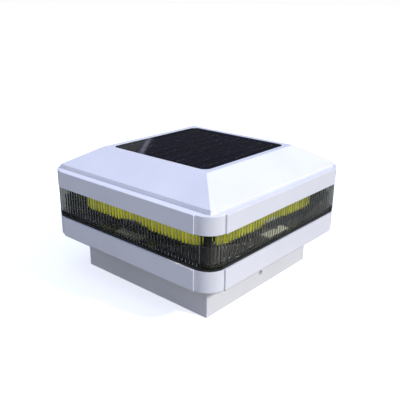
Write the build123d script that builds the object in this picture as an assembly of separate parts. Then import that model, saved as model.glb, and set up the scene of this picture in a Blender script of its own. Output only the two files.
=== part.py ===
from build123d import *

import os
from math import atan2, cos, pi, tan

# Solar post cap light: a pyramid-topped lantern cap that drops over a square post.
# Millimetres. The origin is the centre of the collar's bottom rim, +Z is up, and
# the four faces look along +X, +Y, -X and -Y.

# ---------------------------------------------------------------- post and collar
POST_WIDTH = 127.0  # true width of the post
POST_CLEARANCE = 0.75  # between post and collar, each side
COLLAR_WALL = 2.5
COLLAR_HEIGHT = 31.2
FIXING_HOLE_RADIUS = 2.5
FIXING_HOLE_HEIGHT = 12.0  # centre above the collar's rim
TONGUE_WIDTH = 14.0  # tongues that lock the collar into the floor
TONGUE_THICKNESS = 1.3
TONGUE_SPACING = 80.0
TONGUE_CLEARANCE = 0.1  # also of the groove that the collar's top sits in
COLLAR_GROOVE = 0.4  # depth of that groove in the floor's underside
TONGUE_SHORT = 0.2  # below the top of the floor

# ---------------------------------------------------------------- case
SIDES = 4
BAND_OVERHANG = 21.25  # upper band beyond the collar
LOWER_BAND_INSET = 0.3  # lower band behind the upper one
LENS_INSET = 0.4  # lens behind the upper band's corners
LEDGE_WIDTH = 7.3  # flat ledge round the foot of the pyramid
CORNER_RADIUS = 15.7
FACE_STEP = 1.2  # flat faces stand this far out from the rounded corners
SHELL_WALL = 2.5
LOWER_BAND_HEIGHT = 17.0
LOWER_EDGE_RADIUS = 1.8
GASKET_HEIGHT = 1.8
LENS_HEIGHT = 24.4
UPPER_BAND_HEIGHT = 13.6
SHOULDER_HEIGHT = 3.1
PYRAMID_RISE = 14.5
RIM_WIDTH = 4.9  # flat rim round the panel
EDGE_SOFTENING = 0.5

# ---------------------------------------------------------------- lens and seals
LENS_WALL = 3.6
LIP_WALL = 2.2  # locating lips above and below the lens
LIP_OVERLAP = 0.4  # of a lip with the lens wall
LIP_ROOT = 1.8  # length of a lip that lies behind the lens
LOWER_LIP_REACH = 3.6  # below the lens
UPPER_LIP_REACH = 5.6  # above the lens
GASKET_INSET = 0.4  # gasket's outer edge behind the lens
SEAL_HEIGHT = 3.0
SEAL_GAP = 0.1

# ---------------------------------------------------------------- solar panel
PANEL_WIDTH = 100.6
PANEL_CORNER_RADIUS = 6.0
PANEL_CLEARANCE = 0.3  # to its pocket, each side
PANEL_RECESS = 0.2  # below the rim
COVER_THICKNESS = 1.45  # clear cover above the cells
CELL_THICKNESS = 0.3
TAB_THICKNESS = 0.15
PANEL_BOARD_THICKNESS = 1.6
TAPE_THICKNESS = 0.7
TAPE_WIDTH = 6.0
CELL_COUNT = 4
CELL_MARGIN = 4.2  # from the panel's edge to the cells
CELL_GAP = 1.4
TABS_PER_CELL = 2
TAB_WIDTH = 1.6
POCKET_FLOOR = 2.5

# ---------------------------------------------------------------- light chamber
PLATE_THICKNESS = 1.5
PLATE_CLEARANCE = 0.4  # tray and ceiling to the lens lips
TRAY_LIFT = 0.2  # tray above the lower band's top edge
CEILING_LIFT = 1.6  # ceiling plate above the lens
SHIELD_WALL = 1.4  # dark wall behind the lower part of the lens, round each corner
SHIELD_GAP = 60.0  # open middle of each side, in front of the light unit
SHIELD_END_HEIGHT = 2.0  # above the tray, beside the gap
SHIELD_CORNER_HEIGHT = 14.0
SHIELD_RAMP = 18.0  # length of the steep rise into the corner
SHIELD_SLOPE = 7.0  # rise from the gap to the start of the ramp
REFLECTOR_WIDTH = 136.0
REFLECTOR_CORNER_RADIUS = 18.0
REFLECTOR_WALL = 1.8
END_GAP = 0.1  # above the reflector ring and the posts

# ---------------------------------------------------------------- case screws
SCREW_RADIUS = 2.0
SCREW_CLEARANCE = 0.3  # in clearance holes
THREAD_CLEARANCE = 0.05  # in the holes it cuts its thread into
SCREW_HEAD_RADIUS = 3.8
SCREW_HEAD_HEIGHT = 3.0
SCREW_HEAD_CLEARANCE = 0.4
SCREW_HEAD_DEPTH = 6.0  # seat above the underside
SCREW_COLLAR_GAP = 1.35  # from the collar to the counterbore
SCREW_BITE = 6.8  # length in the cover's boss
BOSS_WALL = 2.6

# ---------------------------------------------------------------- light units
MOUNT_WIDTH = 26.0
MOUNT_TOP_WIDTH = 14.0
MOUNT_HEIGHT = 10.0
MOUNT_DEPTH = 10.0
MOUNT_WALL = 1.2
REFLECTOR_GAP = 1.4  # from the reflector ring to a light unit
LED_BOARD_WIDTH = 30.0
LED_BOARD_HEIGHT = 7.0
LED_BOARD_THICKNESS = 1.0
LED_BOARD_LIFT = 0.6  # above the foot of its mount
LED_RADIUS = 2.5
LED_FLANGE_RADIUS = 2.9
LED_FLANGE_THICKNESS = 1.0
LED_BODY_LENGTH = 3.2
LEAD_RADIUS = 0.7
LEAD_HOLE_CLEARANCE = 0.5
LEAD_GAP = 0.1

# ---------------------------------------------------------------- battery bay
CELL_RADIUS = 7.25
CELL_LENGTH = 50.5
CELL_NUB_RADIUS = 2.75
CELL_NUB_LENGTH = 1.0
CELL_CLEARANCE = 0.4
BAY_WALL = 2.0
BAY_ROOF = 1.5
SPRING_SPACE = 5.0
CONTACT_THICKNESS = 0.4
CONTACT_WIDTH = 9.0
CONTACT_HEIGHT = 10.0
CONTACT_TAB_WIDTH = 3.0
CONTACT_TAB_REACH = 1.6  # outside the bay
CONTACT_TAB_HEIGHT = 1.2  # above the cell's axis
CONTACT_GAP = 0.05
DOOR_SEAT = 1.5  # ledge that the door closes against
DOOR_CLEARANCE = 0.3
DOOR_HINGE_GAP = 0.9  # on the hinge side, so that the edge swings clear
DOOR_THICKNESS = 1.8
DOOR_RECESS = 0.4  # above the underside of the floor
DOOR_RIB_LENGTH = 40.0
DOOR_RIB_HEIGHT = 0.4
DOOR_RIB_WIDTH = 1.2
HINGE_PIN_RADIUS = 0.8
HINGE_RUNNING = 0.05
PIN_SEAT = 0.02
KNUCKLE_RADIUS = 1.6
KNUCKLE_LENGTH = 8.0
KNUCKLE_SPACING = 36.0  # between the middles of the two knuckles
HINGE_SETBACK = 2.3  # axis beyond the door's opening
HINGE_HEIGHT = 2.0  # axis above the underside of the floor
HINGE_CLEARANCE = 0.4
HINGE_CHEEK = 5.0
HINGE_BLOCK_HEIGHT = 4.2
THUMB_NOTCH_RADIUS = 5.0
THUMB_NOTCH_DEPTH = 1.2

# ---------------------------------------------------------------- switch
SWITCH_PLACE = (0.0, -34.0)
SWITCH_LENGTH = 13.0
SWITCH_WIDTH = 7.0
SWITCH_HEIGHT = 6.0
SWITCH_WALL = 1.0
SWITCH_TRAVEL = 3.0
SWITCH_EAR_LENGTH = 24.0
SWITCH_EAR_THICKNESS = 1.2
SWITCH_SCREW_SPACING = 18.5
KNOB_LENGTH = 4.0
KNOB_WIDTH = 2.4
KNOB_RECESS = 0.5  # tip above the underside of the floor
KNOB_FOOT_LENGTH = 6.4
KNOB_FOOT_WIDTH = 4.2
KNOB_FOOT_HEIGHT = 1.5
KNOB_PLAY = 0.3
PIN_COUNT = 3
PIN_PITCH = 3.0
PIN_RADIUS = 0.45
PIN_LENGTH = 1.8

# ---------------------------------------------------------------- control board
BOARD_LENGTH = 50.0
BOARD_DEPTH = 28.0
BOARD_THICKNESS = 1.6
BOARD_BAY_GAP = 13.5  # from the bay to the board
STANDOFF_HEIGHT = 5.0
STANDOFF_RADIUS = 2.6
STANDOFF_EDGE = 4.0  # screw centre from the board's edges
SMALL_SCREW_RADIUS = 1.1
SMALL_HEAD_RADIUS = 2.1
SMALL_HEAD_HEIGHT = 1.2
SMALL_SCREW_BITE = 4.0
EAR_SCREW_BITE = 1.9
CHIP_SIZE = (5.0, 4.0, 1.6)
CHOKE_RADIUS = 4.0
CHOKE_HEIGHT = 4.8
CAPACITOR_RADIUS = 2.4
CAPACITOR_LENGTH = 9.0
HEADER_HEIGHT = 5.0
SIDE_HEADER = (5.0, 12.0)
BATTERY_HEADER = (14.0, 4.0)
PANEL_HEADER = (6.0, 5.0)
BATTERY_LEAD_RADIUS = 0.8
PANEL_LEAD_RADIUS = 1.3
BEND_SHARE = 0.45  # of the shorter run that a bend may use

# ---------------------------------------------------------------- places worked out
collar_inner = POST_WIDTH / 2 + POST_CLEARANCE
collar_outer = collar_inner + COLLAR_WALL
upper_half = collar_outer + BAND_OVERHANG
lower_half = upper_half - LOWER_BAND_INSET
lens_half = upper_half - FACE_STEP - LENS_INSET
lens_radius = CORNER_RADIUS - FACE_STEP - LENS_INSET
pyramid_half = upper_half - LEDGE_WIDTH
panel_half = PANEL_WIDTH / 2
pocket_half = panel_half + PANEL_CLEARANCE
rim_half = pocket_half + RIM_WIDTH

seat_z = COLLAR_HEIGHT
collar_top_z = seat_z + COLLAR_GROOVE
floor_z = seat_z + SHELL_WALL
lower_top_z = seat_z + LOWER_BAND_HEIGHT
lens_bottom_z = lower_top_z + GASKET_HEIGHT
lens_top_z = lens_bottom_z + LENS_HEIGHT
ledge_z = lens_top_z + UPPER_BAND_HEIGHT
pyramid_z = ledge_z + SHOULDER_HEIGHT
top_z = pyramid_z + PYRAMID_RISE

lens_inner = lens_half - LENS_WALL
lip_outer = lens_inner + LIP_OVERLAP
lip_inner = lip_outer - LIP_WALL
lip_radius = lens_radius - LENS_WALL + LIP_OVERLAP
plate_half = lip_inner - PLATE_CLEARANCE
plate_radius = lip_radius - LIP_WALL - PLATE_CLEARANCE

tray_z = lower_top_z + TRAY_LIFT
tray_top_z = tray_z + PLATE_THICKNESS
ceiling_z = lens_top_z + CEILING_LIFT
ceiling_top_z = ceiling_z + PLATE_THICKNESS
reflector_half = REFLECTOR_WIDTH / 2

counterbore_radius = SCREW_HEAD_RADIUS + SCREW_HEAD_CLEARANCE
screw_place = collar_outer + SCREW_COLLAR_GAP + counterbore_radius
screw_seat_z = seat_z + SCREW_HEAD_DEPTH
screw_hole_radius = SCREW_RADIUS + SCREW_CLEARANCE
screw_top_z = ceiling_top_z + SCREW_BITE
base_boss_radius = counterbore_radius + BOSS_WALL - SCREW_CLEARANCE
post_radius = screw_hole_radius + BOSS_WALL - SCREW_CLEARANCE

bay_half_width = CELL_RADIUS + CELL_CLEARANCE
bay_half_length = (CELL_LENGTH + SPRING_SPACE + 2 * CONTACT_THICKNESS) / 2
bay_outer_width = bay_half_width + BAY_WALL
bay_outer_length = bay_half_length + BAY_WALL
bay_ceiling_z = floor_z + 2 * bay_half_width
bay_top_z = bay_ceiling_z + BAY_ROOF
cell_z = floor_z + bay_half_width
opening_half_width = bay_half_width + DOOR_SEAT
opening_half_length = bay_half_length + DOOR_SEAT
door_z = seat_z + DOOR_RECESS
door_top_z = door_z + DOOR_THICKNESS
hinge_y = -(opening_half_width + HINGE_SETBACK)
hinge_z = seat_z + HINGE_HEIGHT

board_y = bay_outer_width + BOARD_BAY_GAP + BOARD_DEPTH / 2
board_z = floor_z + STANDOFF_HEIGHT
board_top_z = board_z + BOARD_THICKNESS
header_top_z = board_top_z + HEADER_HEIGHT
lead_z = board_top_z + HEADER_HEIGHT / 2
side_header_x = BOARD_LENGTH / 2 - SIDE_HEADER[0] / 2 - 0.5
battery_header_y = board_y - BOARD_DEPTH / 2 + BATTERY_HEADER[1] / 2 + 0.5
panel_header_y = board_y + 4.0

cover_top_z = top_z - PANEL_RECESS
tabs_top_z = cover_top_z - COVER_THICKNESS
cells_top_z = tabs_top_z - TAB_THICKNESS
panel_board_top_z = cells_top_z - CELL_THICKNESS
tape_top_z = panel_board_top_z - PANEL_BOARD_THICKNESS
pocket_z = tape_top_z - TAPE_THICKNESS
cell_field_half = panel_half - CELL_MARGIN

mount_back = reflector_half + REFLECTOR_GAP
mount_front = mount_back + MOUNT_WALL
led_board_front = mount_front + LED_BOARD_THICKNESS
led_board_z = tray_top_z + MOUNT_WALL + LED_BOARD_LIFT
led_z = led_board_z + LED_BOARD_HEIGHT / 2
led_lead_x = LED_BOARD_WIDTH / 2 - LEAD_RADIUS - LEAD_GAP
led_lead_y = -(mount_front - LEAD_RADIUS - LEAD_GAP)


# ---------------------------------------------------------------- building blocks
def block(size_x, size_y, bottom, top, centre=(0.0, 0.0)):
    """Upright box between two heights, centred on a point in plan."""
    box = Box(size_x, size_y, top - bottom, align=(Align.CENTER, Align.CENTER, Align.MIN))
    return Pos(centre[0], centre[1], bottom) * box


def post(radius, bottom, top, centre=(0.0, 0.0)):
    """Upright round bar between two heights."""
    bar = Cylinder(radius, top - bottom, align=(Align.CENTER, Align.CENTER, Align.MIN))
    return Pos(centre[0], centre[1], bottom) * bar


def rounded_prism(half, radius, bottom, top):
    """Upright square block with rounded corners."""
    return Pos(0, 0, bottom) * extrude(RectangleRounded(2 * half, 2 * half, radius), top - bottom)


def rounded_ring(outer_half, outer_radius, inner_half, bottom, top):
    """Square ring with concentric rounded corners."""
    inner_radius = outer_radius - (outer_half - inner_half)
    outer = rounded_prism(outer_half, outer_radius, bottom, top)
    return outer - rounded_prism(inner_half, inner_radius, bottom, top)


def frustum(bottom_half, top_half, bottom, top):
    """Square block that narrows from the bottom to the top."""
    lower = Pos(0, 0, bottom) * Rectangle(2 * bottom_half, 2 * bottom_half)
    upper = Pos(0, 0, top) * Rectangle(2 * top_half, 2 * top_half)
    return loft([lower, upper], ruled=True)


def band_prism(half, bottom, top):
    """Band whose flat faces stand proud of its rounded corners."""
    flat = 2 * (half - CORNER_RADIUS)
    corner_radius = CORNER_RADIUS - FACE_STEP
    prism = rounded_prism(half - FACE_STEP, corner_radius, bottom, top)
    prism += block(2 * half, flat, bottom, top)
    prism += block(flat, 2 * half, bottom, top)
    return prism


def rod_x(radius, start, end, y, z):
    """Round bar along X between two places."""
    bar = Cylinder(radius, end - start, rotation=(0, 90, 0))
    return Pos((start + end) / 2, y, z) * bar


def corner_places(reach):
    """Four points at the same reach along both axes."""
    return [(x, y) for x in (-reach, reach) for y in (-reach, reach)]


def on_side(shape, side):
    """Turns a shape made for the -Y side to one of the four sides."""
    return Rot(0, 0, 360 / SIDES * side) * shape


def bend_radii(points):
    """Largest tangent arc at each bend of a route, from its shorter run and its turn."""
    radii = []
    for before, here, after in zip(points, points[1:], points[2:]):
        first = Vector(*here) - Vector(*before)
        second = Vector(*after) - Vector(*here)
        turn = first.get_angle(second) * pi / 180
        radii.append(BEND_SHARE * min(first.length, second.length) / tan(turn / 2))
    return radii


def lead(points, radius):
    """Insulated wire along straight runs joined by tangent arcs."""
    path = FilletPolyline(*points, radius=bend_radii(points))
    section = Plane(path @ 0, z_dir=path % 0) * Circle(radius)
    return sweep(section, path=path)


# ---------------------------------------------------------------- case
def collar_tongues(clearance, top):
    """Two tongues on each side of the collar, or their slots with a clearance."""
    thickness = TONGUE_THICKNESS + 2 * clearance
    width = TONGUE_WIDTH + 2 * clearance
    middle = (collar_inner + collar_outer) / 2
    pair = Compound(children=[
        block(width, thickness, seat_z, top, (x, -middle))
        for x in (-TONGUE_SPACING / 2, TONGUE_SPACING / 2)
    ])
    return [on_side(tongue, side) for side in range(SIDES) for tongue in pair.solids()]


def collar_groove():
    """Shallow square groove that the collar's top sits in."""
    outer = 2 * (collar_outer + TONGUE_CLEARANCE)
    inner = 2 * (collar_inner - TONGUE_CLEARANCE)
    return block(outer, outer, seat_z, collar_top_z) - block(inner, inner, seat_z, collar_top_z)


def make_post_collar():
    """Square sleeve round the post, with a fixing hole in its right and left sides."""
    collar = block(2 * collar_outer, 2 * collar_outer, 0, collar_top_z)
    collar -= block(2 * collar_inner, 2 * collar_inner, 0, collar_top_z)
    collar -= rod_x(FIXING_HOLE_RADIUS, -collar_outer - 1, collar_outer + 1, 0, FIXING_HOLE_HEIGHT)
    for tongue in collar_tongues(0.0, floor_z - TONGUE_SHORT):
        collar += tongue
    return collar


def make_base_housing():
    """Lower band, floor and bosses in one moulding."""
    band = band_prism(lower_half, seat_z, lower_top_z)
    bottom_edges = band.edges().group_by(Axis.Z)[0]
    band = fillet(bottom_edges, LOWER_EDGE_RADIUS)
    void_half = lower_half - SHELL_WALL
    base = band - rounded_prism(void_half, CORNER_RADIUS - SHELL_WALL, floor_z, lower_top_z)
    base -= collar_groove()
    for slot in collar_tongues(TONGUE_CLEARANCE, floor_z):
        base -= slot
    for place in corner_places(screw_place):
        base += post(base_boss_radius, seat_z, tray_z, place)
        base -= post(screw_hole_radius, seat_z, tray_z, place)
        base -= post(counterbore_radius, seat_z, screw_seat_z, place)
    base += battery_bay_walls()
    base -= battery_bay_cuts()
    for place in board_screw_places():
        base += post(STANDOFF_RADIUS, floor_z, board_z, place)
        base -= post(SMALL_SCREW_RADIUS + THREAD_CLEARANCE, board_z - SMALL_SCREW_BITE, board_z, place)
    base -= switch_cuts()
    return base


def battery_bay_walls():
    """Walls and roof over the battery, with the block that holds the hinge pin."""
    walls = block(2 * bay_outer_length, 2 * bay_outer_width, floor_z, bay_top_z)
    back = hinge_y - KNUCKLE_RADIUS - HINGE_CLEARANCE - 1.2
    middle = (back - bay_half_width) / 2
    length = KNUCKLE_SPACING + KNUCKLE_LENGTH + 2 * HINGE_CHEEK
    depth = -back - bay_half_width
    walls += block(length, depth, floor_z, floor_z + HINGE_BLOCK_HEIGHT, (0, middle))
    return walls


def battery_bay_cuts():
    """Space for the cell, the door, its knuckles and its pin."""
    cuts = block(2 * bay_half_length, 2 * bay_half_width, seat_z, bay_ceiling_z)
    cuts += block(2 * opening_half_length, 2 * opening_half_width, seat_z, floor_z)
    radius = KNUCKLE_RADIUS + HINGE_CLEARANCE
    reach = KNUCKLE_LENGTH / 2 + HINGE_CLEARANCE
    for x in (-KNUCKLE_SPACING / 2, KNUCKLE_SPACING / 2):
        cuts += rod_x(radius, x - reach, x + reach, hinge_y, hinge_z)
        near = -opening_half_width + 0.5
        far = hinge_y - radius
        cuts += block(2 * reach, near - hinge_y, seat_z, floor_z, (x, (near + hinge_y) / 2))
        cuts += block(2 * reach, hinge_y - far, seat_z, hinge_z, (x, (hinge_y + far) / 2))
    pin_half = (KNUCKLE_SPACING + KNUCKLE_LENGTH) / 2 + HINGE_CHEEK
    cuts += rod_x(HINGE_PIN_RADIUS + PIN_SEAT, -pin_half, pin_half, hinge_y, hinge_z)
    notch_place = (0, opening_half_width)
    cuts += post(THUMB_NOTCH_RADIUS, seat_z, seat_z + THUMB_NOTCH_DEPTH, notch_place)
    tab_half = CONTACT_TAB_WIDTH / 2 + CONTACT_GAP
    tab_height = CONTACT_THICKNESS + 2 * CONTACT_GAP
    slots = block(2 * bay_outer_length, 2 * tab_half, contact_tab_z() - CONTACT_GAP,
                  contact_tab_z() - CONTACT_GAP + tab_height)
    return cuts + slots


def board_screw_places():
    """The control board's four screws."""
    x = BOARD_LENGTH / 2 - STANDOFF_EDGE
    y = BOARD_DEPTH / 2 - STANDOFF_EDGE
    return [(side * x, board_y + end * y) for side in (-1, 1) for end in (-1, 1)]


def switch_screw_places():
    """The two screws through the switch's ears."""
    x, y = SWITCH_PLACE
    return [(x - SWITCH_SCREW_SPACING / 2, y), (x + SWITCH_SCREW_SPACING / 2, y)]


def knob_slot(bottom, top):
    """Slot that the knob's stem slides in."""
    length = KNOB_LENGTH + SWITCH_TRAVEL + 2 * KNOB_PLAY
    return block(length, KNOB_WIDTH + 2 * KNOB_PLAY, bottom, top, SWITCH_PLACE)


def switch_cuts():
    """Finger slot and screw holes for the switch, in the floor."""
    cuts = knob_slot(seat_z, floor_z)
    for place in switch_screw_places():
        cuts += post(SMALL_SCREW_RADIUS + THREAD_CLEARANCE, floor_z - EAR_SCREW_BITE, floor_z, place)
    return cuts


def make_top_cover():
    """Pyramid, shoulder, ledge and upper band in one shell, with the panel's pocket."""
    outer = block(2 * pyramid_half, 2 * pyramid_half, ledge_z, pyramid_z)
    outer += frustum(pyramid_half, rim_half, pyramid_z, top_z)
    upper_edges = [edge for edge in outer.edges() if edge.center().Z > pyramid_z - 0.1]
    outer = fillet(upper_edges, EDGE_SOFTENING)
    band = band_prism(upper_half, lens_top_z, ledge_z)
    band = fillet(band.edges().group_by(Axis.Z)[-1], EDGE_SOFTENING)
    outer += band
    slope = atan2(PYRAMID_RISE, pyramid_half - rim_half)
    drop = SHELL_WALL / cos(slope)
    under_ledge_z = ledge_z - SHELL_WALL
    roof_z = pocket_z - POCKET_FLOOR
    shoulder_inner = 2 * (pyramid_half - SHELL_WALL)
    roof = block(2 * pyramid_half, 2 * pyramid_half, under_ledge_z, pyramid_z - drop)
    roof += frustum(pyramid_half, rim_half, pyramid_z - drop, top_z - drop)
    void = block(shoulder_inner, shoulder_inner, under_ledge_z, roof_z) & roof
    inner_half = upper_half - SHELL_WALL
    void += rounded_prism(inner_half, CORNER_RADIUS - SHELL_WALL, lens_top_z, under_ledge_z)
    for place in corner_places(screw_place):
        void -= post(post_radius, ceiling_top_z, top_z, place)
        bite = post(SCREW_RADIUS + THREAD_CLEARANCE, ceiling_top_z, screw_top_z + END_GAP, place)
        void += bite
    cover = outer - void
    pocket_radius = PANEL_CORNER_RADIUS + PANEL_CLEARANCE
    cover -= rounded_prism(pocket_half, pocket_radius, pocket_z, top_z)
    cover -= panel_lead_hole(roof_z, pocket_z)
    return cover


def panel_lead_hole(bottom, top):
    """Clearance hole for the panel's lead."""
    return post(PANEL_LEAD_RADIUS + LEAD_HOLE_CLEARANCE, bottom, top, panel_lead_place())


def panel_lead_place():
    """Where the panel's lead drops to its header."""
    return (0.0, panel_header_y)


# ---------------------------------------------------------------- lens and seals
def make_lens_ring():
    """Clear ring with a locating lip above and below."""
    ring = rounded_ring(lens_half, lens_radius, lens_inner, lens_bottom_z, lens_top_z)
    lower_lip = (lens_bottom_z - LOWER_LIP_REACH, lens_bottom_z + LIP_ROOT)
    upper_lip = (lens_top_z - LIP_ROOT, lens_top_z + UPPER_LIP_REACH)
    for bottom, top in (lower_lip, upper_lip):
        ring += rounded_ring(lip_outer, lip_radius, lip_inner, bottom, top)
    return ring


def make_lens_gasket():
    """Black gasket that the lens stands on."""
    outer = lens_half - GASKET_INSET
    inner = lip_outer + SEAL_GAP
    return rounded_ring(outer, lens_radius - GASKET_INSET, inner, lower_top_z, lens_bottom_z)


def make_cover_seal():
    """Seal between the upper lip and the inside of the upper band."""
    outer = upper_half - SHELL_WALL - SEAL_GAP
    inner = lip_outer + SEAL_GAP
    bottom = lens_top_z + SEAL_GAP
    return rounded_ring(outer, CORNER_RADIUS - SHELL_WALL - SEAL_GAP, inner, bottom, bottom + SEAL_HEIGHT)


# ---------------------------------------------------------------- light chamber
def make_light_tray():
    """Dark floor of the light chamber, with a tube for each case screw and a shield round each corner."""
    tray = rounded_prism(plate_half, plate_radius, tray_z, tray_top_z)
    tray += corner_shields()
    for place in corner_places(screw_place):
        tray += post(post_radius, tray_top_z, ceiling_z, place)
        tray -= post(screw_hole_radius, tray_z, ceiling_z, place)
    length = 2 * (bay_outer_length + PLATE_CLEARANCE)
    width = 2 * (bay_outer_width + PLATE_CLEARANCE)
    tray -= block(length, width, tray_z, tray_top_z)
    tray -= panel_lead_hole(tray_z, tray_top_z)
    hole = post(LEAD_RADIUS + LEAD_HOLE_CLEARANCE, tray_z, tray_top_z, (led_lead_x, led_lead_y))
    for side in range(SIDES):
        tray -= on_side(hole, side)
    return tray


def corner_shields():
    """Walls round the tray's corners, open at the middle of each side and highest at the corner."""
    inner = plate_half - SHIELD_WALL
    corner_z = tray_top_z + SHIELD_CORNER_HEIGHT
    end_z = tray_top_z + SHIELD_END_HEIGHT
    shields = rounded_ring(plate_half, plate_radius, inner, tray_top_z, corner_z)
    gap_x = SHIELD_GAP / 2
    high_x = plate_half - plate_radius
    low_x = high_x - SHIELD_RAMP
    ramp_z = end_z + SHIELD_SLOPE
    edge = [(gap_x, tray_top_z), (gap_x, end_z), (low_x, ramp_z), (high_x, corner_z)]
    edge += [(high_x, corner_z + 1)]
    outline = Polyline(*edge, *[(-x, z) for x, z in reversed(edge)], close=True)
    cut = Pos(0, -inner + 1, 0) * extrude(Plane.XZ * make_face(outline), SHIELD_WALL + 2)
    for side in range(SIDES):
        shields -= on_side(cut, side)
    return shields


def make_ceiling_plate():
    """White plate that closes the top of the light chamber."""
    plate = rounded_prism(plate_half, plate_radius, ceiling_z, ceiling_top_z)
    for place in corner_places(screw_place):
        plate -= post(screw_hole_radius, ceiling_z, ceiling_top_z, place)
    return plate - panel_lead_hole(ceiling_z, ceiling_top_z)


def make_reflector_ring():
    """Coloured wall behind the light units, between tray and ceiling."""
    inner = reflector_half - REFLECTOR_WALL
    return rounded_ring(reflector_half, REFLECTOR_CORNER_RADIUS, inner, tray_top_z, ceiling_z - END_GAP)


def make_case_screws():
    """Four long screws from the underside into the top cover."""
    screws = []
    for place in corner_places(screw_place):
        screw = post(SCREW_HEAD_RADIUS, screw_seat_z - SCREW_HEAD_HEIGHT, screw_seat_z, place)
        screw -= block(5.0, 0.9, screw_seat_z - SCREW_HEAD_HEIGHT, screw_seat_z - 1.8, place)
        screw -= block(0.9, 5.0, screw_seat_z - SCREW_HEAD_HEIGHT, screw_seat_z - 1.8, place)
        screws.append(screw + post(SCREW_RADIUS, screw_seat_z, screw_top_z, place))
    return Compound(children=screws)


# ---------------------------------------------------------------- light units
def make_led_mount(side):
    """White bracket: a foot on the tray and a tapered upright."""
    foot_middle = (0, -(mount_back + MOUNT_DEPTH / 2))
    foot = block(MOUNT_WIDTH, MOUNT_DEPTH, tray_top_z, tray_top_z + MOUNT_WALL, foot_middle)
    top = tray_top_z + MOUNT_HEIGHT
    outline = Polyline((-MOUNT_WIDTH / 2, tray_top_z), (MOUNT_WIDTH / 2, tray_top_z),
                       (MOUNT_TOP_WIDTH / 2, top), (-MOUNT_TOP_WIDTH / 2, top), close=True)
    face = Plane.XZ * make_face(outline)
    upright = Pos(0, -mount_back, 0) * extrude(face, MOUNT_WALL)
    return on_side(foot + upright, side)


def make_led_board(side):
    """Small board on the front of the upright."""
    middle = (0, -(mount_front + LED_BOARD_THICKNESS / 2))
    top = led_board_z + LED_BOARD_HEIGHT
    return on_side(block(LED_BOARD_WIDTH, LED_BOARD_THICKNESS, led_board_z, top, middle), side)


def make_led(side):
    """Domed 5 mm light that looks out through the lens."""
    outline = [
        Line((0, 0), (LED_FLANGE_RADIUS, 0)),
        Line((LED_FLANGE_RADIUS, 0), (LED_FLANGE_RADIUS, LED_FLANGE_THICKNESS)),
        Line((LED_FLANGE_RADIUS, LED_FLANGE_THICKNESS), (LED_RADIUS, LED_FLANGE_THICKNESS)),
        Line((LED_RADIUS, LED_FLANGE_THICKNESS), (LED_RADIUS, LED_BODY_LENGTH)),
        RadiusArc((LED_RADIUS, LED_BODY_LENGTH), (0, LED_BODY_LENGTH + LED_RADIUS), -LED_RADIUS),
        Line((0, LED_BODY_LENGTH + LED_RADIUS), (0, 0)),
    ]
    light = revolve(make_face(outline), Axis.Y)
    placed = Pos(0, -led_board_front, led_z) * Rot(0, 0, 180) * light
    return on_side(placed, side)


def turned(x, y, side):
    """Plan point made for the -Y side, turned to one of the four sides."""
    point = Vector(x, y, 0).rotate(Axis.Z, 360 / SIDES * side)
    return point.X, point.Y


def led_lead_routes():
    """Plan points of each light unit's lead, from its hole in the tray to its header."""
    near, far = board_y - 3.0, board_y + 3.0
    right = side_header_x + SIDE_HEADER[0] / 2
    clear = bay_outer_length + 15.0
    bend = board_y + BOARD_DEPTH / 2 + 4.0
    return [
        [(led_lead_x + 4.0, led_lead_y + 14.0), (clear, -36.0), (clear, near - 16.0), (right + 15.0, near),
         (right, near)],
        [(-led_lead_y - 10.0, led_lead_x + 8.0), (clear + 3.0, far - 6.0),
         (right + 14.0, far), (right, far)],
        [(-led_lead_x - 8.0, bend + 1.0), (-right - 12.0, bend - 4.0), (-right - 13.0, far), (-right, far)],
        [(led_lead_y + 11.0, -led_lead_x + 6.0), (-clear - 3.0, near - 16.0),
         (-right - 14.0, near), (-right, near)],
    ]


def make_led_lead(side):
    """Two-core lead from a light unit, down through the tray and across to the board."""
    x, y = turned(led_lead_x, led_lead_y, side)
    points = [(x, y, led_z), (x, y, lead_z)]
    points += [(px, py, lead_z) for px, py in led_lead_routes()[side]]
    return lead(points, LEAD_RADIUS)


# ---------------------------------------------------------------- solar panel
def cell_width():
    """Width of one cell."""
    return (2 * cell_field_half - (CELL_COUNT - 1) * CELL_GAP) / CELL_COUNT


def cell_places():
    """Middle of each cell across the panel."""
    pitch = cell_width() + CELL_GAP
    return [(index - (CELL_COUNT - 1) / 2) * pitch for index in range(CELL_COUNT)]


def make_panel_cover():
    """Clear cover, hollowed underneath for the cells."""
    cover = rounded_prism(panel_half, PANEL_CORNER_RADIUS, panel_board_top_z, cover_top_z)
    hollow = 2 * (cell_field_half + PANEL_CLEARANCE)
    return cover - block(hollow, hollow, panel_board_top_z, tabs_top_z)


def make_solar_cells():
    """Strips of silicon side by side."""
    cells = []
    for x in cell_places():
        cells.append(block(cell_width(), 2 * cell_field_half, panel_board_top_z, cells_top_z, (x, 0)))
    return Compound(children=cells)


def make_cell_tabs():
    """Tinned ribbons along each cell."""
    tabs = []
    for x in cell_places():
        for index in range(TABS_PER_CELL):
            shift = (index + 0.5) / TABS_PER_CELL - 0.5
            place = (x + shift * cell_width(), 0)
            tabs.append(block(TAB_WIDTH, 2 * cell_field_half, cells_top_z, tabs_top_z, place))
    return Compound(children=tabs)


def make_panel_board():
    """Board under the cells."""
    return rounded_prism(panel_half, PANEL_CORNER_RADIUS, tape_top_z, panel_board_top_z)


def make_panel_tape():
    """Foam tape round the edge of the pocket."""
    inner = panel_half - TAPE_WIDTH
    outer = rounded_prism(panel_half, PANEL_CORNER_RADIUS, pocket_z, tape_top_z)
    return outer - block(2 * inner, 2 * inner, pocket_z, tape_top_z)


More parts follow.
